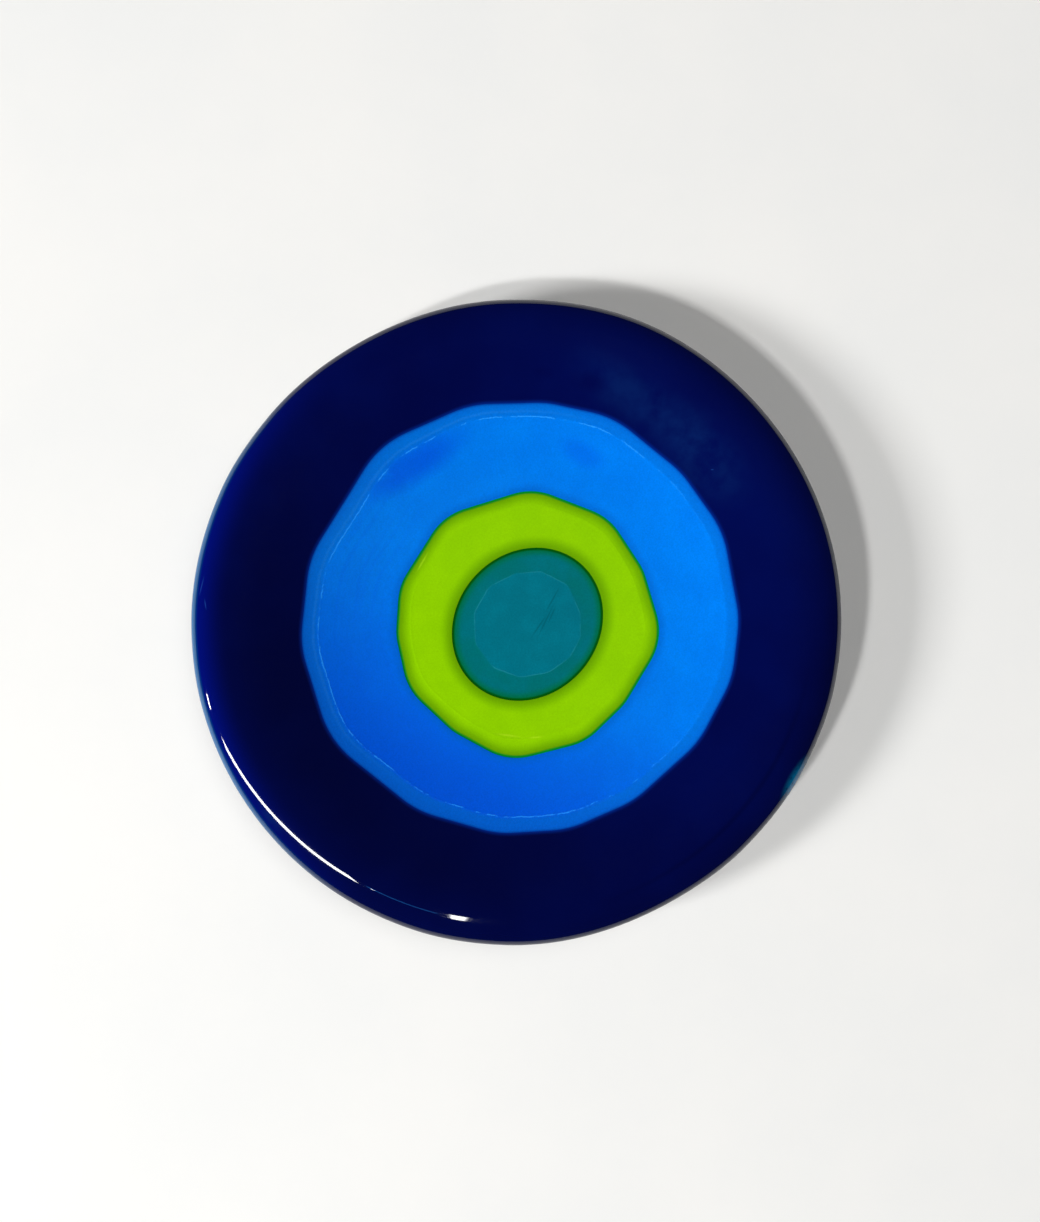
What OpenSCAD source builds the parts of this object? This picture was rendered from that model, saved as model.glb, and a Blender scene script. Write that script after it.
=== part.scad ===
// Evil eye dish: five discs of coloured sheet glass, fused flush into one
// another and slumped into a shallow dish with a soft, rounded rim.
// The origin is the middle of the flat foot, +Z is up.

/* [Dish] */
// Widest diameter, over the rim
dish_d = 131; // [120:1:140]
// Diameter of the flat middle, which is also the foot
foot_d = 44; // [42:1:46]
// Radius of the upward bend round the foot, on the underside
bend_r = 84; // [76:1:90]
// Steepest slope of the wall, in degrees from level
wall_slope = 17; // [15:0.5:18]
// Length of the straight wall above the bend
wall_len = 7; // [6:0.5:8]
// Radius of the bend that eases the wall towards the rim, on the underside
ease_r = 17; // [14:1:20]
// Slope of the rim, in degrees from level
rim_slope = 1; // [0:0.5:2]

/* [Glass] */
// Thickness of the two fused cobalt sheets together
glass_t = 6.6; // [6:0.1:7]
// Width of the rim over which the glass thins to its rounded edge
edge_w = 10; // [9:0.5:12]
// Radius of the lower corner of the edge
edge_r = 2.4; // [2:0.1:2.8]
// Depth of the blue disc in the cobalt
blue_t = 2.0; // [1.8:0.1:2.4]
// Depth of the lime disc in the blue
lime_t = 1.4; // [1.1:0.1:1.6]
// Depth of the teal disc in the lime
teal_t = 0.8; // [0.5:0.1:0.9]

/* [Eye] */
// Mean radius of the blue disc's corners
blue_r = 44; // [42:0.1:46]
// Mean radius of the lime disc's corners
lime_r = 27.2; // [25:0.1:29]
// Long half axis of the teal oval
teal_a = 16.4; // [14:0.1:18]
// Short half axis of the teal oval
teal_b = 14.5; // [13:0.1:16]

/* [Hidden] */

// Centres of the three discs of the eye, laid by hand a little off the middle.
blue_at = [0.8, 0.7];
lime_at = [2.0, -0.6];
teal_at = [2.4, -0.6];
teal_turn = 48;

// The corners left by the glass nippers: [direction in degrees, distance from the mean radius].
blue_corners = [
    [0, 0], [23, 0.3], [42, -0.4], [65, 0.4], [83, -0.5], [103, -0.1], [129, 0.7], [164, -0.1],
    [187, 0.4], [213, 1.4], [242, -0.1], [264, -0.4], [283, -0.4], [302, -0.7], [325, -0.3], [344, 0.3]
];
lime_corners = [
    [25, -0.8], [52, 0.4], [87, 0.6], [127, 0.5], [163, -0.3], [185, -0.7],
    [209, 0.2], [236, -0.8], [263, 1], [297, -0.3], [321, -1.3], [354, 1.1]
];
blue_corner_round = 20;
lime_corner_round = 12;

foot_r = foot_d / 2;
seam_t = glass_t / 2;
spin_steps = 180;
wall_steps = 14;
edge_steps = 10;
corner_steps = 4;
corner_arc_steps = 5;
column_h = 40;

// A recess reaches this height, past the top of the glass, so its cut leaves no skin.
above_t = glass_t + 3;

// Distances along the underside, from the axis: where the bend, the wall, the easing and the glass end.
function arc_length(r, degrees) = r * degrees * PI / 180;
bend_end = foot_r + arc_length(bend_r, wall_slope);
wall_end = bend_end + wall_len;
ease_end = wall_end + arc_length(ease_r, wall_slope - rim_slope);
wall_end_x = foot_r + bend_r * sin(wall_slope) + wall_len * cos(wall_slope);
ease_end_x = wall_end_x + ease_r * (sin(wall_slope) - sin(rim_slope));
corner_centre_x = dish_d / 2 - edge_r;
corner_at_s = ease_end + (corner_centre_x + edge_r * sin(rim_slope) - ease_end_x) / cos(rim_slope);
edge_end = corner_at_s + edge_r;
edge_start = edge_end - edge_w;

// The point of the section at distance s along the underside and height n above it, square to it.
function section_at(s, n) =
    s <= foot_r ? [s, n]
    : s <= bend_end ? bend_at((s - foot_r) / bend_r * 180 / PI, n)
    : s <= wall_end ? bend_at(wall_slope, n) + (s - bend_end) * along(wall_slope)
    : s <= ease_end ? ease_at(wall_slope - (s - wall_end) / ease_r * 180 / PI, n)
    : ease_at(rim_slope, n) + (s - ease_end) * along(rim_slope);

function along(a) = [cos(a), sin(a)];

function bend_at(a, n) = [foot_r + (bend_r - n) * sin(a), bend_r - (bend_r - n) * cos(a)];

function ease_at(a, n) =
    bend_at(wall_slope, 0)
    + wall_len * along(wall_slope)
    + ease_r * [sin(wall_slope), -cos(wall_slope)]
    + (ease_r + n) * [-sin(a), cos(a)];

// Height at distance s of a sheet that is n thick in the middle and meets the edge at edge_r.
function sheet_height(s, n) =
    let (u = max(0, (s - edge_start) / edge_w))
    edge_r + (n - edge_r) * sqrt(1 - min(1, u * u));

// The section line of a sheet's face, from the axis to the wall's end and on to the edge.
function wall_line(n) = [
    for (i = [-1:wall_steps])
        let (s = i < 0 ? 0 : foot_r + (edge_start - foot_r) * i / wall_steps)
        section_at(s, n)
];
function edge_line(n) = [
    for (i = [1:edge_steps])
        let (s = edge_start + edge_w * sin(90 * i / edge_steps))
        section_at(s, sheet_height(s, n))
];

// The underside of the rim, with the rounded lower corner of the edge.
function under_line() = concat(
    wall_line(0),
    [section_at((edge_start + corner_at_s) / 2, 0)],
    [
        for (i = [0:corner_arc_steps])
            let (a = -90 + 90 * i / corner_arc_steps)
            section_at(corner_at_s + edge_r * cos(a), edge_r + edge_r * sin(a))
    ]
);

function reversed(list) = [for (i = [len(list) - 1:-1:0]) list[i]];

// A closed outline with its corners rounded. The corners are [direction, distance from r].
function corner_at(corners, i, r) =
    let (c = corners[(i + len(corners)) % len(corners)])
    (r + c[1]) * [cos(c[0]), sin(c[0])];

function rounded_outline(corners, r, round_r) = [
    for (i = [0:len(corners) - 1])
        let (
            p = corner_at(corners, i, r),
            back = corner_at(corners, i - 1, r) - p,
            ahead = corner_at(corners, i + 1, r) - p,
            to_back = back / norm(back),
            to_ahead = ahead / norm(ahead),
            half = acos(to_back * to_ahead) / 2,
            inward = to_back + to_ahead,
            centre = p + inward / norm(inward) * round_r / sin(half),
            start = atan2(-inward[1], -inward[0]) - (90 - half)
        )
        for (k = [0:corner_steps])
            let (a = start + (180 - 2 * half) * k / corner_steps)
            centre + round_r * [cos(a), sin(a)]
];

function oval_outline(a, b) = [for (t = [0:6:354]) [a * cos(t), b * sin(t)]];

// Spins a section round the axis.
module spin(section) {
    rotate_extrude($fn = spin_steps)
        polygon(section);
}

// The glass between heights n0 and n1, out to where the rim starts to thin.
module layer(n0, n1) {
    spin(concat(wall_line(n0), reversed(wall_line(n1))));
}

// One disc's footprint, as a column that is taller than the dish.
module column(at, outline, turn = 0) {
    translate([at[0], at[1], -1])
        rotate([0, 0, turn])
            linear_extrude(column_h)
                polygon(outline);
}

module blue_column() {
    column(blue_at, rounded_outline(blue_corners, blue_r, blue_corner_round));
}

module lime_column() {
    column(lime_at, rounded_outline(lime_corners, lime_r, lime_corner_round));
}

module teal_column() {
    column(teal_at, oval_outline(teal_a, teal_b), teal_turn);
}

// The bottom sheet: the underside, the foot and the lower corner of the edge.
module lower_cobalt_disc() {
    color([0.01, 0.02, 0.25])
        spin(concat(under_line(), reversed(edge_line(seam_t)), reversed(wall_line(seam_t))));
}

// The second sheet: the navy ring round the eye and the rounded top of the rim.
module upper_cobalt_disc() {
    color([0.01, 0.02, 0.35])
        difference() {
            spin(concat(
                wall_line(seam_t),
                edge_line(seam_t),
                reversed(edge_line(glass_t)),
                reversed(wall_line(glass_t))
            ));
            intersection() {
                layer(glass_t - blue_t, above_t);
                blue_column();
            }
        }
}

module blue_disc() {
    color([0, 0.45, 0.95])
        difference() {
            intersection() {
                layer(glass_t - blue_t, glass_t);
                blue_column();
            }
            intersection() {
                layer(glass_t - lime_t, above_t);
                lime_column();
            }
        }
}

module lime_disc() {
    color([0.55, 0.8, 0])
        difference() {
            intersection() {
                layer(glass_t - lime_t, glass_t);
                lime_column();
            }
            intersection() {
                layer(glass_t - teal_t, above_t);
                teal_column();
            }
        }
}

module teal_disc() {
    color([0, 0.42, 0.48])
        intersection() {
            layer(glass_t - teal_t, glass_t);
            teal_column();
        }
}

lower_cobalt_disc();
upper_cobalt_disc();
blue_disc();
lime_disc();
teal_disc();
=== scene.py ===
"""The evil eye dish: five discs of coloured glass, fused flush into one another and slumped."""

import math

import bmesh
import bpy
import numpy as np
from mathutils import Matrix, Vector


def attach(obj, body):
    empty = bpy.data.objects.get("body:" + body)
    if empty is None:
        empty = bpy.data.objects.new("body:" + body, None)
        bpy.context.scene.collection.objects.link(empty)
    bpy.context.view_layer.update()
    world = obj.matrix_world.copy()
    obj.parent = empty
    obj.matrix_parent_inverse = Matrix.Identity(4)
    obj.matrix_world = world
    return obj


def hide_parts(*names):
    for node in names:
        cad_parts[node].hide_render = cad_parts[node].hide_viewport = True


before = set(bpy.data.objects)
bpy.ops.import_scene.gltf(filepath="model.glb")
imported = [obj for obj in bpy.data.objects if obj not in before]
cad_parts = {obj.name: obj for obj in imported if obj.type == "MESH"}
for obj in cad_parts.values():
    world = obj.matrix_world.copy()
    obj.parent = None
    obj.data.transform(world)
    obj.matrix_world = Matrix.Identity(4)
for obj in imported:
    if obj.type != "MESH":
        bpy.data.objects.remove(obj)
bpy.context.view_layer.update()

MM = 0.001

# ---------------------------------------------------------------- the section of the glass, in mm

DISH_R = 65.5
FOOT_R = 22
BEND_R = 84
WALL_SLOPE = math.radians(17)
WALL_LEN = 7
EASE_R = 17
RIM_SLOPE = math.radians(1)

GLASS_T = 6.6
SEAM_T = GLASS_T / 2
EDGE_W = 10
EDGE_R = 2.4
BLUE_T = 2.0
LIME_T = 1.4
TEAL_T = 0.8

# Arc lengths along the underside at which its slope changes its rule, and the slopes there.
BEND_END = FOOT_R + BEND_R * WALL_SLOPE
WALL_END = BEND_END + WALL_LEN
EASE_END = WALL_END + EASE_R * (WALL_SLOPE - RIM_SLOPE)
ARC_STEP = 0.02
ARC_LIMIT = 80
ARC = np.arange(0, ARC_LIMIT, ARC_STEP)
# Width over which the changes of slope are evened out.
SOFTEN = 2


def softened(values, width):
    """values, evened out over a width in mm, so that the slope itself changes smoothly."""
    reach = int(3 * width / ARC_STEP)
    weights = np.exp(-0.5 * (np.arange(-reach, reach + 1) * ARC_STEP / width) ** 2)
    padded = np.concatenate([np.full(reach, values[0]), values, np.full(reach, values[-1])])
    return np.convolve(padded, weights / weights.sum(), "valid")


def summed(values):
    """The running integral of values along the arc."""
    return np.concatenate([[0], np.cumsum((values[1:] + values[:-1]) / 2 * ARC_STEP)])


RULES_AT = [0, FOOT_R, BEND_END, WALL_END, EASE_END]
SLOPES_AT = [0, 0, WALL_SLOPE, WALL_SLOPE, RIM_SLOPE]
LEAN = softened(np.interp(ARC, RULES_AT, SLOPES_AT), SOFTEN)
UNDER_X = summed(np.cos(LEAN))
UNDER_Z = summed(np.sin(LEAN))


def section(s, n):
    """Distance from the axis and height of the point n above the underside, square to it, at arc
    length s."""
    lean = np.interp(s, ARC, LEAN)
    x = np.interp(s, ARC, UNDER_X) - n * np.sin(lean)
    z = np.interp(s, ARC, UNDER_Z) + n * np.cos(lean)
    return x, z


CORNER_S = float(np.interp(DISH_R - EDGE_R, section(ARC, EDGE_R)[0], ARC))
EDGE_END = CORNER_S + EDGE_R
EDGE_START = EDGE_END - EDGE_W


def sheet_height(s, n):
    """Height at arc length s of a face that is n up in the middle and EDGE_R up at the edge."""
    u = np.clip((s - EDGE_START) / EDGE_W, 0, 1)
    return EDGE_R + (n - EDGE_R) * np.sqrt(1 - u * u)


# ---------------------------------------------------------------- outlines, as radii round the axis

SPOKES = 768
TURN = np.arange(SPOKES) * 2 * math.pi / SPOKES


def wave(points):
    """A smooth closed curve through [direction in degrees, value], one value for each spoke."""
    at = np.radians([p[0] for p in points])
    value = np.array([p[1] for p in points], float)
    at = np.concatenate([[at[-1] - 2 * math.pi], at, [at[0] + 2 * math.pi]])
    value = np.concatenate([[value[-1]], value, [value[0]]])
    turn = np.where(TURN < at[0], TURN + 2 * math.pi, TURN)
    i = np.clip(np.searchsorted(at, turn, "right") - 1, 0, len(at) - 2)
    u = (turn - at[i]) / (at[i + 1] - at[i])
    return value[i] + (value[i + 1] - value[i]) * (1 - np.cos(math.pi * u)) / 2


CORNER_POINTS = 9
OVAL_POINTS = 240


def rounded_corners(corners, r, round_r):
    """A closed outline with rounded corners, each a direction in degrees and a distance from r."""
    at = [
        (r + more) * np.array([math.cos(math.radians(turn)), math.sin(math.radians(turn))])
        for turn, more in corners
    ]
    points = []
    for i, p in enumerate(at):
        back = at[i - 1] - p
        ahead = at[(i + 1) % len(at)] - p
        back = back / np.linalg.norm(back)
        ahead = ahead / np.linalg.norm(ahead)
        half = math.acos(float(back @ ahead)) / 2
        inward = (back + ahead) / np.linalg.norm(back + ahead)
        centre = p + inward * round_r / math.sin(half)
        start = math.atan2(-inward[1], -inward[0]) - (math.pi / 2 - half)
        for a in np.linspace(start, start + math.pi - 2 * half, CORNER_POINTS):
            points.append(centre + round_r * np.array([math.cos(a), math.sin(a)]))
    return np.array(points)


def oval(a, b, turn):
    """An ellipse with half axes a and b, turned about its middle."""
    t = np.linspace(0, 2 * math.pi, OVAL_POINTS, endpoint=False)
    x, y = a * np.cos(t), b * np.sin(t)
    c, s = math.cos(turn), math.sin(turn)
    return np.column_stack([x * c - y * s, x * s + y * c])


def radii(points, centre):
    """The outline's radius on every spoke, measured from the dish's axis."""
    p = points + np.array(centre)
    q = np.roll(p, -1, axis=0)
    out = np.zeros(SPOKES)
    for k, turn in enumerate(TURN):
        across = np.array([-math.sin(turn), math.cos(turn)])
        along = np.array([math.cos(turn), math.sin(turn)])
        dp, dq = p @ across, q @ across
        hit = (dp * dq <= 0) & (dp != dq)
        u = dp[hit] / (dp[hit] - dq[hit])
        out[k] = max((p[hit] @ along) * (1 - u) + (q[hit] @ along) * u)
    return out


def evened(r, width):
    """r, averaged over that many spokes on both sides."""
    return sum(np.roll(r, k) for k in range(-width, width + 1)) / (2 * width + 1)


# Centres of the discs, and the corners left by the glass nippers: direction in degrees, distance from
# the disc's mean radius.
BLUE_AT = [0.8, 0.7]
LIME_AT = [2.0, -0.6]
TEAL_AT = [2.4, -0.6]
BLUE_R = 44
LIME_R = 27.2
TEAL_HALF = (16.4, 14.5)
TEAL_TURN = math.radians(48)
TEAL_CUT_R = 10.9
BLUE_ROUND = 20
LIME_ROUND = 12
TEAL_CUT_ROUND = 2.5
BLUE_CORNERS = [
    [0, 0], [23, 0.3], [42, -0.4], [65, 0.4], [83, -0.5], [103, -0.1], [129, 0.7], [164, -0.1],
    [187, 0.4], [213, 1.4], [242, -0.1], [264, -0.4], [283, -0.4], [302, -0.7], [325, -0.3], [344, 0.3],
]
LIME_CORNERS = [
    [25, -0.8], [52, 0.4], [87, 0.6], [127, 0.5], [163, -0.3], [185, -0.7],
    [209, 0.2], [236, -0.8], [263, 1], [297, -0.3], [321, -1.3], [354, 1.1],
]
TEAL_CUT_CORNERS = [
    [12, 0], [44, 0.5], [75, 0.2], [104, -0.3], [136, 0], [168, 0.2], [200, 0.4], [232, 0.3], [262, 0],
    [294, -0.2], [322, 0], [346, 0.2],
]

# How many spokes to each side an outline is evened over.
OUT_EVEN = 2
BLUE_CUT_EVEN = 12
LIME_CUT_EVEN = 20
TEAL_CUT_EVEN = 4

BLUE_OUT = evened(radii(rounded_corners(BLUE_CORNERS, BLUE_R, BLUE_ROUND), BLUE_AT), OUT_EVEN)
LIME_OUT = evened(radii(rounded_corners(LIME_CORNERS, LIME_R, LIME_ROUND), LIME_AT), OUT_EVEN)
TEAL_OUT = radii(oval(*TEAL_HALF, TEAL_TURN), TEAL_AT)

# Where each sheet's cut edge shows inside its flowed outline: direction in degrees, distance in mm.
BLUE_FLOW = [[0, 2.2], [45, 2.4], [92, 2.6], [135, 3.5], [185, 3.1], [230, 3.3], [270, 3.0], [310, 2.6]]
LIME_FLOW = [[40, 2.4], [150, 2.8], [265, 3.6]]
BLUE_CUT = evened(BLUE_OUT, BLUE_CUT_EVEN) - wave(BLUE_FLOW)
LIME_CUT = evened(LIME_OUT, LIME_CUT_EVEN) - wave(LIME_FLOW)
TEAL_CUT_OUTLINE = rounded_corners(TEAL_CUT_CORNERS, TEAL_CUT_R, TEAL_CUT_ROUND)
TEAL_CUT = evened(radii(TEAL_CUT_OUTLINE, TEAL_AT), TEAL_CUT_EVEN)

# How far the rim's hand-cut outline stays inside its widest circle.
RIM_SHORT = wave([
    [5, 0.05], [45, 0.25], [64, 0.15], [92, 0.85], [120, 1.25], [140, 1.0], [156, 0.65], [182, 0.3],
    [195, 0.15], [232, 0.06], [252, 0.2], [268, 0.42], [300, 1.1], [316, 0.8], [332, 0.5], [349, 0.12],
])
# Radius from which the glass follows that outline, more and more towards the rim.
WAVER_FROM = 46


def placed(s, n):
    """Points in mm for one ring: s and n for each spoke, or for every second, fourth ... spoke."""
    step = SPOKES // len(s)
    x, z = section(s, n)
    u = np.clip((x - WAVER_FROM) / (DISH_R - WAVER_FROM), 0, 1)
    x = x - RIM_SHORT[::step] * u * u * (3 - 2 * u)
    turn = TURN[::step]
    return np.column_stack([x * np.cos(turn), x * np.sin(turn), z])


# ---------------------------------------------------------------- meshes made of rings


def arc_at(r, n):
    """The arc length at which the face n up in the middle has that distance from the axis."""
    return np.interp(r, section(ARC, sheet_height(ARC, n))[0], ARC)


# Edges sharper than this stay sharp in the shading.
SHARP = math.radians(50)


class Rings:
    """Rings of points from one pole of a closed skin to the other, each with SPOKES points or a half,
    a quarter ... of them."""

    def __init__(self):
        self.rings = []
        self.marks = []

    def add(self, s, n, **marks):
        """A ring at arc length s and height n, with values for the material to read."""
        size = len(s)
        self.rings.append(placed(s, np.broadcast_to(n, size)))
        self.marks.append({k: np.broadcast_to(v, size) for k, v in marks.items()})

    def mesh(self, name):
        """The closed mesh: the rings joined one to the next, and a pole at each end."""
        names = sorted({k for m in self.marks for k in m})
        first = [0]
        for ring in self.rings:
            first.append(first[-1] + len(ring))
        faces = []
        for i in range(len(self.rings) - 1):
            faces += joined(first[i], len(self.rings[i]), first[i + 1], len(self.rings[i + 1]))
        points = list(self.rings)
        total = first[-1]
        faces += fan(first[0], len(self.rings[0]), total, True)
        faces += fan(first[-2], len(self.rings[-1]), total + 1, False)
        points += [self.rings[0].mean(axis=0)[None], self.rings[-1].mean(axis=0)[None]]
        mesh = bpy.data.meshes.new(name)
        mesh.from_pydata((np.concatenate(points) * MM).tolist(), [], faces)
        for k in names:
            parts = [m.get(k, np.zeros(len(r))) for m, r in zip(self.marks, self.rings)]
            values = np.concatenate(parts + [[parts[0].mean()], [parts[-1].mean()]])
            stored = mesh.attributes.new(k, "FLOAT", "POINT")
            stored.data.foreach_set("value", values.astype(np.float32))
        mesh.validate()
        mesh.shade_smooth()
        mesh.set_sharp_from_angle(angle=SHARP)
        return mesh


def joined(a, na, b, nb):
    """Faces between two rings, where one may have half as many points as the other."""
    faces = []
    if na == nb:
        for k in range(na):
            m = (k + 1) % na
            faces.append((a + k, a + m, b + m, b + k))
    elif na == 2 * nb:
        for k in range(nb):
            m = (k + 1) % nb
            faces.append((a + 2 * k, a + 2 * k + 1, b + k))
            faces.append((a + 2 * k + 1, b + m, b + k))
            faces.append((a + 2 * k + 1, a + (2 * k + 2) % na, b + m))
    else:
        for k in range(na):
            m = (k + 1) % na
            faces.append((a + k, b + 2 * k + 1, b + 2 * k))
            faces.append((a + k, a + m, b + 2 * k + 1))
            faces.append((a + m, b + (2 * k + 2) % nb, b + 2 * k + 1))
    return faces


def fan(a, count, pole, inward):
    """Triangles that close a ring onto a pole."""
    order = [(a + k, a + (k + 1) % count) for k in range(count)]
    return [(pole, q, p) if inward else (p, q, pole) for p, q in order]


FEWEST_SPOKES = 24


def thinned(values, spacing):
    """Every second, fourth ... spoke's value, where the spokes are closer than the spacing in mm."""
    step = 1
    while step < SPOKES // FEWEST_SPOKES and 2 * math.pi * values.mean() * step / SPOKES < spacing:
        step *= 2
    return values[::step]


# Radii of a hidden face's rings, as shares of its outline.
FLOOR_SHARES = [1, 0.96, 0.86, 0.7, 0.48, 0.24]
# Distances in mm of the fine rings beside an outline, and on both sides of a cut edge.
FINE_STEPS = [0, 0.1, 0.2, 0.32, 0.48, 0.7, 1.0, 1.4]
CUT_STEPS = [-0.4, -0.2, -0.1, 0, 0.1, 0.2, 0.4]
# Widest and narrowest gap between rings on a top face, in mm.
WIDE_GAP = 0.55
NARROW_GAP = 0.07
# Closest spacing of the spokes on the teal top and on the underside, and the teal's smallest ring.
TOP_SPACING = 0.11
UNDER_SPACING = 0.25
POLE_R = 0.4

BLUE_S = arc_at(BLUE_OUT, GLASS_T)
LIME_S = arc_at(LIME_OUT, GLASS_T)
TEAL_S = arc_at(TEAL_OUT, GLASS_T)
BLUE_CUT_S = arc_at(BLUE_CUT, GLASS_T)
LIME_CUT_S = arc_at(LIME_CUT, GLASS_T)
TEAL_CUT_S = arc_at(TEAL_CUT, GLASS_T)


def floor_rings(outline, n, outward):
    """The rings of a hidden face, from its pole to an outline or back, with fewer spokes inwards."""
    made = [(outline[:: 2**i] * share, n) for i, share in enumerate(FLOOR_SHARES)]
    return made[::-1] if outward else made


# Each disc stands a little proud inside the line of its cut edge and sinks to a crease at its outline.
PROUD = 0.07
DOME_W = 4
CREASE = 0.015
CREASE_W = 0.35
RIDGE = 0.02
RIDGE_W = 0.2
# A distance at which a crease, a ridge or a dome no longer shows.
FAR = 9


def relief(inward, outward, cut):
    """Height in mm over the plain face, from the distances in from both outlines and the cut edge."""
    step = np.clip(0.5 + cut / DOME_W, 0, 1)
    dome = PROUD * step * step * (3 - 2 * step)
    crease = CREASE * (np.exp(-((inward / CREASE_W) ** 2)) + np.exp(-((outward / CREASE_W) ** 2)))
    ridge = RIDGE * np.exp(-((cut / RIDGE_W) ** 2))
    return dome - crease + ridge


def between(inner, outer, middle):
    """Rings from one outline to the next, fine at both and at the cut edge between them, as shares."""
    width = (outer - inner).mean()
    at_cut = ((middle - inner) / (outer - inner)).mean()
    fine = np.array(FINE_STEPS) / width
    around = np.array(CUT_STEPS) / width
    shares = np.concatenate([fine, at_cut + around, 1 - fine, np.linspace(0, 1, int(width / WIDE_GAP))])
    shares = np.unique(np.round(np.sort(shares), 5))
    keep = [shares[0]]
    for share in shares[1:]:
        if share - keep[-1] > NARROW_GAP / width:
            keep.append(share)
    keep[-1] = 1
    return keep, at_cut


def share_to_s(share, inner, outer, middle, at_cut):
    """Arc length for a share of the way from inner to outer, which is at middle at the share at_cut."""
    low = inner + (middle - inner) * share / at_cut
    high = middle + (outer - middle) * (share - at_cut) / (1 - at_cut)
    return np.where(share < at_cut, low, high)


def disc_skin(inner, outer, cut, depth, inner_depth):
    """An overlaid disc: a recess for the next disc in its middle, and its own flat back."""
    skin = Rings()
    for s, n in floor_rings(inner, GLASS_T - inner_depth, True):
        skin.add(s, n)
    shares, at_cut = between(inner, outer, cut)
    for share in shares:
        s = share_to_s(share, inner, outer, cut, at_cut)
        skin.add(
            s,
            GLASS_T + relief(outer - s, s - inner, cut - s),
            inward=outer - s,
            outward=s - inner,
            cut=cut - s,
        )
    for s, n in floor_rings(outer, GLASS_T - depth, False):
        skin.add(s, n)
    return skin


def teal_skin():
    """The oval in the middle: a flat back, and a top that closes over the axis."""
    skin = Rings()
    for s, n in floor_rings(TEAL_S, GLASS_T - TEAL_T, True):
        skin.add(s, n)
    shares, at_cut = between(0 * TEAL_S, TEAL_S, TEAL_CUT_S)
    last = 1
    for share in shares[::-1]:
        if share * TEAL_S.mean() < POLE_R:
            break
        s = share_to_s(share, 0 * TEAL_S, TEAL_S, TEAL_CUT_S, at_cut)
        step = SPOKES // len(thinned(s, TOP_SPACING))
        last = min(step, 2 * last)
        skin.add(
            s[::last],
            (GLASS_T + relief(TEAL_S - s, s + FAR, TEAL_CUT_S - s))[::last],
            inward=(TEAL_S - s)[::last],
            cut=(TEAL_CUT_S - s)[::last],
        )
    return skin


NAVY_RINGS = 18
EDGE_RINGS = 44


def upper_skin():
    """The second cobalt sheet: the recess for the blue disc, the navy ring and the rounded rim."""
    skin = Rings()
    for s, n in floor_rings(BLUE_S, GLASS_T - BLUE_T, True):
        skin.add(s, n)
    flat = EDGE_START - BLUE_S.mean()
    fine = np.array(FINE_STEPS) / flat
    shares = np.concatenate([fine, np.linspace(fine[-1], 1, NAVY_RINGS)[1:]])
    for share in shares:
        s = BLUE_S + (EDGE_START - BLUE_S) * share
        skin.add(
            s,
            GLASS_T + relief(FAR, s - BLUE_S, -FAR),
            outward=s - BLUE_S,
            rim=EDGE_END - s,
        )
    for i in range(1, EDGE_RINGS + 1):
        s = np.full(SPOKES, EDGE_START + EDGE_W * math.sin(math.pi / 2 * i / EDGE_RINGS))
        skin.add(s, sheet_height(s, GLASS_T), outward=s - BLUE_S, rim=EDGE_END - s)
    for s, n in floor_rings(np.full(SPOKES, EDGE_END), SEAM_T, False)[1:]:
        skin.add(s, sheet_height(s, SEAM_T))
    return skin


CORNER_RINGS = 8
UNDER_RINGS = 120


def lower_skin():
    """The bottom sheet: the lower corner of the rim and the underside with its foot."""
    skin = Rings()
    for s, n in floor_rings(np.full(SPOKES, EDGE_END), SEAM_T, True):
        skin.add(s, sheet_height(s, SEAM_T), mould=0)
    for i in range(1, CORNER_RINGS + 1):
        a = -math.pi / 2 * i / CORNER_RINGS
        s = np.full(SPOKES, CORNER_S + EDGE_R * math.cos(a))
        skin.add(s, EDGE_R + EDGE_R * math.sin(a), mould=i / CORNER_RINGS)
    last = 1
    for s in np.linspace(CORNER_S, 0, UNDER_RINGS)[1:-1]:
        ring = np.full(SPOKES, s)
        last = min(SPOKES // len(thinned(ring, UNDER_SPACING)), 2 * last)
        skin.add(ring[::last], 0, mould=1)
    return skin


def made_piece(name, skin, material, node):
    """A piece that rides on the dish and stands for its CAD node."""
    mesh = skin.mesh(name)
    work = bmesh.new()
    work.from_mesh(mesh)
    bmesh.ops.recalc_face_normals(work, faces=work.faces)
    work.to_mesh(mesh)
    work.free()
    mesh.materials.append(material)
    piece = bpy.data.objects.new(name, mesh)
    bpy.context.scene.collection.objects.link(piece)
    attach(piece, "root")
    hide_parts(node)


# ---------------------------------------------------------------- glass

# Directions in degrees: the side towards which painted shade darkens the colours, and the side towards
# the lamps, where the rim gets painted light.
SHADED_SIDE = 225
LAMP_SIDE = 185

# Index of refraction.
IOR = 1.45
# Roughness of a top face that melted smooth, and the depth of its slow waves in mm.
POLISHED = 0.04
WAVES = 0.004
# Roughness of the lower sheet at the lip, and where it lay on the mould.
LIP_ROUGH = 0.06
MOULD_ROUGH = 0.42
# Size in mm of the speckle and of the wander in an edge, and the length of a streak.
SPECKLE = 0.35
WANDER = 1.1
STREAK = 30
# The Mix node's colour sockets, which share their names with its other sockets.
MIX_UNDER, MIX_OVER, MIX_RESULT = 6, 7, 2

# Cloudy patches: x and y, half length and half width in mm, direction in degrees, and strength.
# The first list is painted soft reflections on the navy; the blots are darker spots among them.
NAVY_REFLECTIONS = [
    (24.5, 44, 20, 6.5, -34, 0.52),
    (37, 33.5, 15, 8, -50, 0.62),
    (-49, -38.6, 5, 1.6, -52, 0.7),
]
NAVY_BLOTS = [(14.4, 47.6, 4.6, 2.6, -12, 0.75), (5.5, 49.5, 3.6, 1.8, -12, 0.75)]
# Painted light that comes through the lip at the lower right.
NAVY_LIP_LIGHT = [(56, -31.5, 6.4, 2.2, 60, 1)]
BLUE_SHADES = [(-20.6, 31.6, 16, 5, 32, 0.6), (13.5, 33.8, 7, 3.6, -24, 0.3)]
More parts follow.
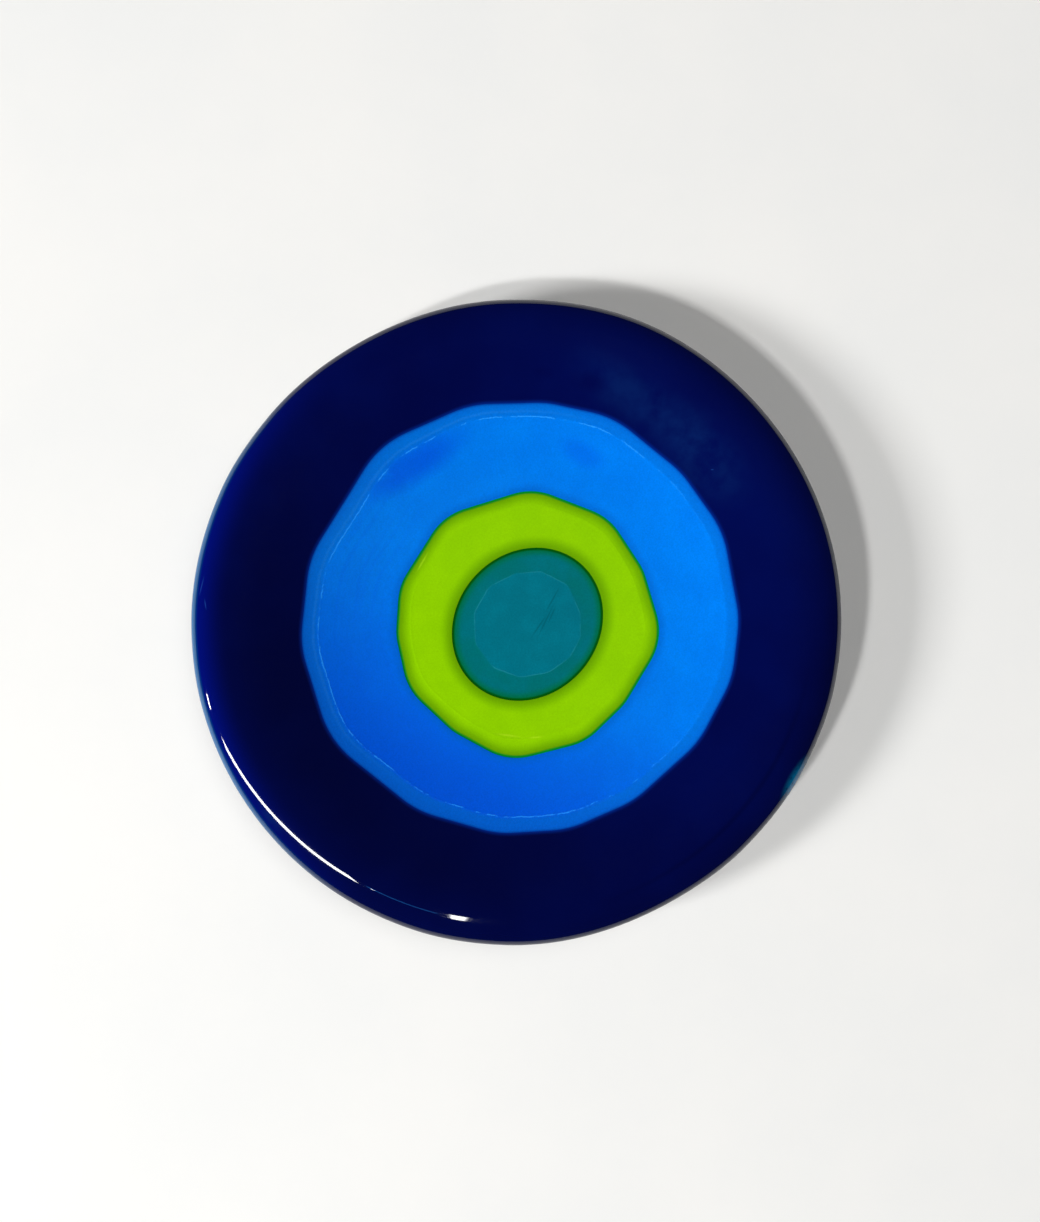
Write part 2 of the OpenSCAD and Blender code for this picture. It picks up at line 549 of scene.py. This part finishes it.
# Thin marks: x and y, half length in mm, and direction in degrees.
NAVY_SCRATCHES = [
    (-54.3, 44.7, 1.2, 100),
    (-62.4, 7, 2.6, 75),
    (-61.5, 3.4, 1.4, 100),
    (39.1, 30.2, 0.4, 0),
]
LIME_ARCS = [(-1.4, -23.2, 3.4, -8), (4, -23.6, 2, 4), (13, -5.8, 1, 40), (-19, 12, 3, 60)]
TEAL_CREASES = [(7.5, 4.4, 3.8, 61), (6.2, 0.3, 4.8, 64), (4.8, -0.9, 3.5, 56), (7.4, 1.4, 2.4, 66)]


def colour(r, g, b):
    """Linear colour from 0 to 255 display values."""
    values = [v / 255 for v in (r, g, b)]
    return tuple(v / 12.92 if v <= 0.04045 else ((v + 0.055) / 1.055) ** 2.4 for v in values) + (1.0,)


class Surface:
    """A material, with short ways to add nodes to it. Lengths are in mm."""

    def __init__(self, name, roughness):
        self.material = bpy.data.materials.new(name)
        self.material.use_nodes = True
        self.tree = self.material.node_tree
        self.shader = self.tree.nodes["Principled BSDF"]
        self.shader.inputs["Roughness"].default_value = roughness
        self.shader.inputs["IOR"].default_value = IOR
        self.place = self.add("ShaderNodeTexCoord").outputs["Object"]

    def add(self, kind, **settings):
        """A new node with those settings."""
        node = self.tree.nodes.new(kind)
        for key, value in settings.items():
            setattr(node, key, value)
        return node

    def put(self, socket, value):
        """Set a socket to a value, or link another node's socket to it."""
        if isinstance(value, bpy.types.NodeSocket):
            self.tree.links.new(value, socket)
        else:
            socket.default_value = value

    def mark(self, name):
        """A value that the mesh holds for each point, such as the distance in from an outline."""
        return self.add("ShaderNodeAttribute", attribute_name=name).outputs["Fac"]

    def fade(self, value, start, end, low=0.0, high=1.0):
        """low below start, high above end, and a smooth step between them."""
        node = self.add("ShaderNodeMapRange", interpolation_type="SMOOTHSTEP")
        if start > end:
            start, end, low, high = end, start, high, low
        self.put(node.inputs["Value"], value)
        self.put(node.inputs["From Min"], start)
        self.put(node.inputs["From Max"], end)
        self.put(node.inputs["To Min"], low)
        self.put(node.inputs["To Max"], high)
        return node.outputs["Result"]

    def noise(self, size, detail=3.0, roughness=0.5, offset=0.0):
        """Cloudy noise from 0 to 1, with patches of about that size."""
        node = self.add("ShaderNodeTexNoise", noise_dimensions="4D")
        self.put(node.inputs["Vector"], self.place)
        self.put(node.inputs["W"], offset)
        self.put(node.inputs["Scale"], 1 / (size * MM))
        self.put(node.inputs["Detail"], detail)
        self.put(node.inputs["Roughness"], roughness)
        return node.outputs["Fac"]

    def math(self, operation, a, b=0.0):
        """Any Math node."""
        node = self.add("ShaderNodeMath", operation=operation)
        self.put(node.inputs[0], a)
        self.put(node.inputs[1], b)
        return node.outputs[0]

    def times(self, a, b):
        """a times b."""
        return self.math("MULTIPLY", a, b)

    def line(self, value, at, width):
        """1 on the line where value is at, fading to 0 at that width to each side."""
        off = self.math("ABSOLUTE", self.math("SUBTRACT", value, at))
        return self.fade(off, 0.0, width, 1.0, 0.0)

    def mix(self, share, under, over):
        """The colour under, with that share of the colour over laid on it."""
        node = self.add("ShaderNodeMix", data_type="RGBA")
        self.put(node.inputs["Factor"], share)
        self.put(node.inputs[MIX_UNDER], under)
        self.put(node.inputs[MIX_OVER], over)
        return node.outputs[MIX_RESULT]

    def spot(self, x, y, length, width, turn):
        """1 in the middle of an ellipse on the dish and 0 at its outline. Its half axes are given."""
        node = self.add("ShaderNodeMapping", vector_type="TEXTURE")
        self.put(node.inputs["Vector"], self.place)
        self.put(node.inputs["Location"], (x * MM, y * MM, 0))
        self.put(node.inputs["Rotation"], (0, 0, math.radians(turn)))
        self.put(node.inputs["Scale"], (length * MM, width * MM, 1))
        size = self.add("ShaderNodeVectorMath", operation="LENGTH")
        self.put(size.inputs[0], node.outputs["Vector"])
        return self.fade(size.outputs["Value"], 1.0, 0.2)

    def toward(self, turn, start, end, high=1.0):
        """A slow change over the dish towards a side: 0 before start and high beyond end, which are
        shares of its radius."""
        node = self.add("ShaderNodeVectorMath", operation="DOT_PRODUCT")
        self.put(node.inputs[0], self.place)
        side = math.radians(turn)
        self.put(node.inputs[1], (math.cos(side) / (DISH_R * MM), math.sin(side) / (DISH_R * MM), 0))
        return self.fade(node.outputs["Value"], start, end, 0.0, high)

    def patched(self, base, patches, cloud, start, end, over):
        """base with cloudy patches of a colour over it, where cloud is the noise's settings and
        fades in from start to end."""
        for x, y, length, width, turn, strength in patches:
            shape = self.spot(x, y, length, width, turn)
            patch = self.times(shape, self.fade(self.noise(*cloud), start, end))
            base = self.mix(self.times(patch, strength), base, over)
        return base

    def scratched(self, base, marks, width, strength, over):
        """base with thin marks of a colour, all of the same half width and strength."""
        for x, y, length, turn in marks:
            shape = self.spot(x, y, length, width, turn)
            base = self.mix(self.times(shape, strength), base, over)
        return base

    def jagged(self, value, depth):
        """The distance to an edge that wanders by that depth."""
        wander = self.math("SUBTRACT", self.noise(WANDER, 4, 0.7, 7), 0.5)
        return self.math("ADD", value, self.times(wander, depth))

    def streaks(self, value, width):
        """Long streaks of that width that follow an edge, from 0 to 1."""
        across = self.times(value, STREAK * MM / width)
        return self.fade(self.noise(STREAK, 2, 0.5, across), 0.4, 0.65)

    def rim_edge_and_sheen(self, base, share):
        """base with the darker line round the rim, and painted teal light on it on the side towards the
        lamps.
        """
        base = self.mix(share, base, colour(0, 12, 50))
        lamp_side_light = self.times(share, self.toward(LAMP_SIDE, 0.55, 0.98))
        return self.mix(lamp_side_light, base, colour(0, 86, 138))

    def grained(self, base, depth):
        """Very fine speckle in the colour."""
        node = self.add("ShaderNodeHueSaturation")
        speckle = self.fade(self.noise(SPECKLE, 2), 0.25, 0.75, 1 - depth, 1 + depth)
        self.put(node.inputs["Value"], speckle)
        self.put(node.inputs["Color"], base)
        return node.outputs["Color"]

    def bump(self, height, depth):
        """Relief of that depth from a height of 0 to 1."""
        node = self.add("ShaderNodeBump")
        self.put(node.inputs["Strength"], 1.0)
        self.put(node.inputs["Distance"], depth * MM)
        self.put(node.inputs["Height"], height)
        return node.outputs["Normal"]

    def finish(self, base, roughness=None, normal=None):
        """The material, with its colour and, where given, its roughness and relief."""
        self.put(self.shader.inputs["Base Color"], base)
        if roughness is not None:
            self.put(self.shader.inputs["Roughness"], roughness)
        if normal is not None:
            self.put(self.shader.inputs["Normal"], normal)
        return self.material


# Where blue and navy flow into each other.
BLUE_IN_NAVY = colour(0, 38, 134)


def navy_glass():
    """The upper cobalt sheet: painted shade and light, painted reflections with dark blots, the blue
    that flows into it, and the rim.
    """
    glass = Surface("cobalt_upper", POLISHED)
    rim = glass.mark("rim")
    clouds = glass.fade(glass.noise(14), 0.35, 0.7)
    base = glass.mix(clouds, colour(0, 5, 64), colour(0, 7, 70))
    # Painted shade: the navy darkens towards the lower left, away from the lamps.
    base = glass.mix(glass.toward(SHADED_SIDE, -0.2, 0.9, 0.45), base, colour(0, 3, 40))
    # Painted light: the navy is lighter towards the upper right, where the wall faces the lamps.
    base = glass.mix(glass.toward(50, 0.45, 0.85, 0.4), base, colour(0, 12, 84))
    # Painted light: the navy lightens near the rim on the side towards the lamps.
    lamp_side_light = glass.times(glass.fade(rim, 8, 1), glass.toward(182, 0.45, 0.95))
    base = glass.mix(lamp_side_light, base, colour(0, 9, 100))
    # Painted soft reflections, with darker blots among them.
    base = glass.patched(base, NAVY_REFLECTIONS, (6, 5, 0.6), 0.3, 0.68, colour(6, 34, 94))
    base = glass.patched(base, NAVY_BLOTS, (3, 4, 0.6, 5), 0.3, 0.5, colour(0, 5, 66))
    # A dark arc 6.6 mm in from the rim at the lower right.
    roll = glass.times(glass.line(rim, 6.6, 0.8), glass.toward(-41, 0.72, 0.9, 0.4))
    base = glass.mix(roll, base, colour(0, 2, 40))
    base = glass.scratched(base, NAVY_SCRATCHES, 0.16, 0.5, colour(30, 70, 150))
    base = glass.mix(glass.fade(glass.mark("outward"), 0.9, -0.35), base, BLUE_IN_NAVY)
    # The rim's darker edge, with painted teal light on its side towards the lamps.
    base = glass.rim_edge_and_sheen(base, glass.fade(rim, 1.9, 0.4))
    # Painted light through the lip: a pale blue patch at the lower right.
    base = glass.patched(base, NAVY_LIP_LIGHT, (1.6, 5, 0.7), 0.33, 0.5, colour(0, 104, 150))
    handled = glass.fade(glass.noise(22, 2, 0.6, 3), 0.4, 0.75, 0.03, 0.07)
    lip = glass.fade(rim, 0.5, 0.15, 0, 0.5)
    return glass.finish(base, glass.math("MAXIMUM", handled, lip), glass.bump(glass.noise(6, 2), WAVES))


def lower_glass():
    """The lower cobalt sheet: glossy at the lip, and satin and chalky where it lay on the mould."""
    glass = Surface("cobalt_lower", LIP_ROUGH)
    mould = glass.mark("mould")
    chalk = glass.times(glass.fade(glass.noise(7, 5, 0.65), 0.45, 0.75), mould)
    base = glass.mix(glass.times(chalk, 0.35), colour(0, 8, 66), colour(16, 26, 88))
    # The rim's darker edge, with painted teal light on its side towards the lamps.
    base = glass.rim_edge_and_sheen(base, glass.fade(mould, 0.7, 0.1))
    rough = glass.fade(mould, 0.2, 0.9, LIP_ROUGH, MOULD_ROUGH)
    grain = glass.times(glass.noise(0.5, 4, 0.6), mould)
    return glass.finish(base, rough, glass.bump(grain, 0.05))


def blue_glass():
    """The blue disc: painted shade towards the lower left, streaks along its cut edge, a painted band
    of light beside it, a broken pale line on it, and dark borders.
    """
    glass = Surface("blue_glass", POLISHED)
    inward, outward = glass.mark("inward"), glass.mark("outward")
    cut = glass.jagged(glass.mark("cut"), 0.85)
    clouds = glass.fade(glass.noise(9, 4, 0.6), 0.35, 0.7)
    base = glass.mix(clouds, colour(0, 115, 226), colour(0, 122, 233))
    # Painted shade: the blue darkens towards the lower left, away from the lamps.
    base = glass.mix(glass.toward(SHADED_SIDE + 20, -0.1, 0.65, 0.9), base, colour(0, 78, 218))
    streaks = glass.times(glass.streaks(cut, 0.9), glass.toward(190, 0, 0.5, 0.18))
    base = glass.mix(streaks, base, colour(0, 86, 222))
    base = glass.patched(base, BLUE_SHADES, (5, 4, 0.6), 0.2, 0.45, colour(0, 66, 212))
    near_lime = glass.times(glass.fade(outward, 2.2, 0.0), 0.58)
    base = glass.mix(near_lime, base, colour(0, 92, 194))
    flowed = glass.times(glass.fade(cut, 0.2, -0.7), 0.6)
    base = glass.mix(flowed, base, colour(2, 102, 200))
    # Painted light: a pale band outside the cut edge at the left.
    lit_edge = glass.times(glass.line(cut, -1.1, 0.5), glass.toward(150, -0.1, 0.5, 0.1))
    base = glass.mix(lit_edge, base, colour(60, 160, 240))
    broken = glass.fade(glass.noise(3, 4, 0.65, 2), 0.44, 0.54)
    shown = glass.times(broken, glass.toward(180, -0.66, -0.25, 0.8))
    base = glass.mix(glass.times(glass.line(cut, 0, 0.21), shown), base, colour(40, 152, 248))
    base = glass.mix(glass.times(glass.fade(inward, 1.6, 0.2), 0.35), base, colour(0, 84, 190))
    base = glass.mix(glass.fade(inward, 0.55, -0.25), base, BLUE_IN_NAVY)
    return glass.finish(glass.grained(base, 0.08), normal=glass.bump(glass.noise(5, 2), WAVES))


def lime_glass():
    """The lime disc: darker towards both borders, with a few pale arcs and a green outline."""
    glass = Surface("lime_glass", POLISHED)
    inward, outward = glass.mark("inward"), glass.mark("outward")
    clouds = glass.fade(glass.noise(6, 4, 0.6), 0.35, 0.7)
    base = glass.mix(clouds, colour(138, 201, 0), colour(143, 206, 0))
    base = glass.mix(glass.fade(inward, 3.4, 0.2), base, colour(98, 156, 0))
    base = glass.mix(glass.times(glass.fade(outward, 2.9, 0.0), 0.8), base, colour(90, 146, 0))
    base = glass.scratched(base, LIME_ARCS, 0.3, 0.55, colour(172, 220, 30))
    base = glass.mix(glass.fade(inward, 0.75, 0.35), base, colour(0, 132, 30))
    return glass.finish(glass.grained(base, 0.05), normal=glass.bump(glass.noise(5, 2), WAVES))


def teal_glass():
    """The teal oval: a mottled band outside its cut edge, creases, and a green border."""
    glass = Surface("teal_glass", POLISHED)
    inward, cut = glass.mark("inward"), glass.jagged(glass.mark("cut"), 0.35)
    clouds = glass.fade(glass.noise(4, 4, 0.6), 0.35, 0.7)
    base = glass.mix(clouds, colour(0, 108, 127), colour(0, 114, 134))
    mottled = glass.fade(glass.noise(6, 4, 0.6, 1), 0.35, 0.6, 0.45, 1)
    base = glass.mix(glass.times(glass.fade(cut, 0.2, -0.3), mottled), base, colour(0, 106, 108))
    base = glass.scratched(base, TEAL_CREASES, 0.24, 0.8, colour(0, 88, 102))
    shown = glass.times(glass.fade(glass.noise(5, 3, 0.6, 4), 0.35, 0.6), 0.45)
    base = glass.mix(glass.times(glass.line(cut, 0, 0.2), shown), base, colour(36, 142, 156))
    base = glass.mix(glass.fade(inward, 2.2, 0.4), base, colour(0, 106, 66))
    base = glass.mix(glass.fade(inward, 0.7, 0.35), base, colour(0, 82, 8))
    return glass.finish(glass.grained(base, 0.08), normal=glass.bump(glass.noise(4, 2), WAVES))


blue_skin = disc_skin(LIME_S, BLUE_S, BLUE_CUT_S, BLUE_T, LIME_T)
lime_skin = disc_skin(TEAL_S, LIME_S, LIME_CUT_S, LIME_T, TEAL_T)
made_piece("lower_cobalt_glass", lower_skin(), lower_glass(), "lower_cobalt_disc")
made_piece("upper_cobalt_glass", upper_skin(), navy_glass(), "upper_cobalt_disc")
made_piece("blue_glass_disc", blue_skin, blue_glass(), "blue_disc")
made_piece("lime_glass_disc", lime_skin, lime_glass(), "lime_disc")
made_piece("teal_glass_disc", teal_skin(), teal_glass(), "teal_disc")


# ---------------------------------------------------------------- the table, the lights and the camera

# Radius in metres and number of sides of the round table top, and the roughness of its paint.
TABLE_R = 1.7
TABLE_SIDES = 96
TABLE_ROUGH = 0.6


def table():
    """A plain pale table top under the dish."""
    mesh = bpy.data.meshes.new("table")
    turns = np.linspace(0, 2 * math.pi, TABLE_SIDES, endpoint=False).tolist()
    rim = [(TABLE_R * math.cos(a), TABLE_R * math.sin(a), 0) for a in turns]
    mesh.from_pydata(rim, [], [tuple(range(len(rim)))])
    paint = Surface("pale_table", TABLE_ROUGH)
    clouds = paint.fade(paint.noise(60, 4, 0.6), 0.3, 0.7)
    base = paint.mix(clouds, colour(240, 240, 238), colour(244, 243, 240))
    mesh.materials.append(paint.finish(base))
    floor = bpy.data.objects.new("table", mesh)
    bpy.context.scene.collection.objects.link(floor)


def heading(azimuth, elevation):
    """The direction at that azimuth from +X and elevation over the table, in degrees."""
    a, e = math.radians(azimuth), math.radians(elevation)
    return Vector((math.cos(a) * math.cos(e), math.sin(a) * math.cos(e), math.sin(e)))


# How far off the lights stand, in metres.
LIGHT_FAR = 2.0


def panel(name, start, end, width, power, tint=(1, 1, 1)):
    """A long light from one direction to another that faces the dish."""
    a, b = heading(*start) * LIGHT_FAR, heading(*end) * LIGHT_FAR
    light = bpy.data.lights.new(name, "AREA")
    light.shape = "RECTANGLE"
    light.size = max((b - a).length, width)
    light.size_y = width
    light.energy = power
    light.color = tint
    lamp = bpy.data.objects.new(name, light)
    middle = (a + b) / 2
    back = middle.normalized()
    side = back.cross((b - a).normalized()).normalized()
    along = side.cross(back)
    lamp.matrix_world = Matrix((along, side, back)).transposed().to_4x4()
    lamp.location = middle
    lamp.visible_camera = False
    bpy.context.scene.collection.objects.link(lamp)
    return lamp


# Strength of the dim room, and of the backdrop that shows behind the table.
ROOM_LIGHT = 0.02
BACKDROP = 0.62


def room():
    """A dim room round the lights, with a pale backdrop that only the camera sees."""
    world = bpy.data.worlds.new("room")
    world.use_nodes = True
    tree = world.node_tree
    background = tree.nodes["Background"]
    background.inputs["Color"].default_value = (1, 1, 1, 1)
    seen = tree.nodes.new("ShaderNodeMapRange")
    seen.inputs["To Min"].default_value = ROOM_LIGHT
    seen.inputs["To Max"].default_value = BACKDROP
    ray = tree.nodes.new("ShaderNodeLightPath")
    tree.links.new(ray.outputs["Is Camera Ray"], seen.inputs["Value"])
    tree.links.new(seen.outputs["Result"], background.inputs["Strength"])
    bpy.context.scene.world = world


# Name, direction of one end and of the other as (azimuth, elevation), width in metres, power in
# watts, and colour where it isn't white. The soft lights shade and cast shadows but aren't mirrored in
# the glass, and the glints are mirrored but don't shade.
SOFT_LIGHTS = [
    ("low_window", (191, 25), (201, 25), 0.35, 34.7),
    ("high_window", (217.5, 42), (222.5, 42), 0.17, 20.2),
    ("fill", (25, 72), (65, 72), 1.4, 14.6),
]
GLINTS = [
    ("tall_window", (203, 24), (238.2, 49), 0.11, 17),
    ("door", (193.5, 20), (196.5, 20), 0.06, 2),
    ("sill", (241, 50), (255, 52), 0.03, 0.2, (0.03, 0.3, 1)),
    ("pane", (242.1, 50), (242.5, 50), 0.012, 0.03),
    ("far_lamp", (259.3, 48.5), (259.3, 55), 0.065, 1.8),
]

# Sensor and lens in mm, the nearest thing seen in metres, and the camera's place in mm.
CAMERA_SENSOR = 36
CAMERA_LENS = 31.12
CAMERA_NEAR = 0.01
CAMERA_AT = (0.87, 2.09, 221.5)


def camera():
    """Straight above the dish, at the height that gives the outline its size in the picture."""
    data = bpy.data.cameras.new("camera")
    data.sensor_width = CAMERA_SENSOR
    data.lens = CAMERA_LENS
    data.clip_start = CAMERA_NEAR
    eye = bpy.data.objects.new("camera", data)
    eye.location = Vector(CAMERA_AT) * MM
    bpy.context.scene.collection.objects.link(eye)
    bpy.context.scene.camera = eye


table()
room()
for light in SOFT_LIGHTS:
    panel(*light).visible_glossy = False
for glint in GLINTS:
    panel(*glint).visible_diffuse = False
camera()

bpy.context.scene.view_settings.view_transform = "Standard"
